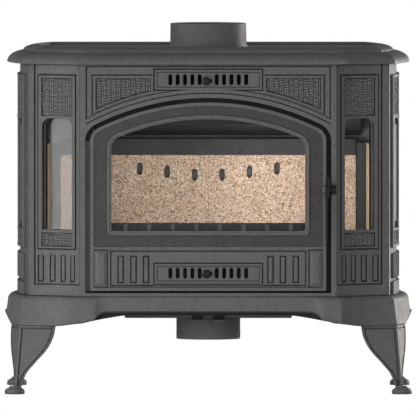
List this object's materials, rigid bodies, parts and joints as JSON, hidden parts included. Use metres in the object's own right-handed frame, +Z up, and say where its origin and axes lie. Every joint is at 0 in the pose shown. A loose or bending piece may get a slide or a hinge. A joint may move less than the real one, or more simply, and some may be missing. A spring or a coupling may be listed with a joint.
{
  "type": "wood burning stove",
  "caption": "Free-standing cast-iron wood stove with an arched glass door, canted side windows, air sliders, cabriole legs and a top flue collar.",
  "frame": {"origin": "centre of the bounding box on the floor, under the middle of the stove", "axes": "+X to the right seen from the front, +Y towards the back, +Z up; the door faces -Y"},
  "size_m": [0.793, 0.4836, 0.718],
  "materials": {
    "cast_iron": "fine sand-cast, anthracite heat paint",
    "door_iron": "fine sand-cast, darker anthracite",
    "black_steel": "satin black",
    "plate_steel": "plain rolled plate",
    "vermiculite": "speckled pressed board",
    "rope_seal": "braided glass rope",
    "ceramic_glass": "clear, polished"
  },
  "bodies": {
    "body": {"top_plate": "cast_iron", "flue_collar": "cast_iron", "base_frame": "cast_iron", "leg_front_right": "cast_iron", "leg_front_left": "cast_iron", "leg_rear_right": "cast_iron", "leg_rear_left": "cast_iron", "front_frame": "cast_iron", "corner_panel_right": "cast_iron", "corner_panel_left": "cast_iron", "side_panel_right": "cast_iron", "side_panel_left": "cast_iron", "back_panel": "cast_iron", "hearth_plate": "cast_iron", "grate": "cast_iron", "baffle_plate": "cast_iron", "air_box": "cast_iron", "air_inlet_spigot": "cast_iron", "door_catch": "black_steel", "spigot_screw_left": "black_steel", "spigot_screw_right": "black_steel", "air_box_strap_left": "black_steel", "air_box_strap_right": "black_steel", "hinge_pin_lower": "black_steel", "hinge_pin_upper": "black_steel", "bottom_plate": "plate_steel", "ash_compartment": "plate_steel", "ash_pan": "plate_steel", "brick_corner_post_right": "plate_steel", "brick_corner_post_left": "plate_steel", "back_retainer": "plate_steel", "retainer_screw_left": "plate_steel", "retainer_screw_right": "plate_steel", "air_deflector": "plate_steel", "log_guard": "plate_steel", "tie_rod_front_right": "plate_steel", "tie_rod_front_left": "plate_steel", "tie_rod_rear_right": "plate_steel", "tie_rod_rear_left": "plate_steel", "side_glass_retainer_right": "plate_steel", "side_glass_retainer_left": "plate_steel", "back_brick_right": "vermiculite", "back_brick_left": "vermiculite", "side_brick_right": "vermiculite", "side_brick_left": "vermiculite", "side_glass_gasket_right": "rope_seal", "side_glass_gasket_left": "rope_seal", "side_glass_right": "ceramic_glass", "side_glass_left": "ceramic_glass"},
    "door": {"door_frame": "door_iron", "door_seal": "rope_seal", "door_glass_gasket": "rope_seal", "door_glass": "ceramic_glass", "door_glass_retainer": "plate_steel", "handle_boss": "cast_iron"},
    "handle": {"door_handle": "black_steel"},
    "upper_slider": {"upper_air_slider_plate": "plate_steel", "upper_air_knob": "black_steel"},
    "lower_slider": {"lower_air_slider_plate": "plate_steel", "lower_air_knob": "black_steel"}
  },
  "joints": [
    {"name": "door_hinge", "type": "hinge", "parent": "body", "child": "door", "pos_m": [-0.2237, -0.20675, 0.36], "axis": [0, 0, -1], "range_deg": [0, 95]},
    {"name": "handle_pivot", "type": "hinge", "parent": "door", "child": "handle", "pos_m": [0.232, -0.22375, 0.4], "axis": [-1, 0, 0], "range_deg": [0, 35]},
    {"name": "upper_air_slide", "type": "slide", "parent": "body", "child": "upper_slider", "axis": [1, 0, 0], "range_m": [0, 0.007]},
    {"name": "lower_air_slide", "type": "slide", "parent": "door", "child": "lower_slider", "axis": [1, 0, 0], "range_m": [0, 0.007]}
  ]
}
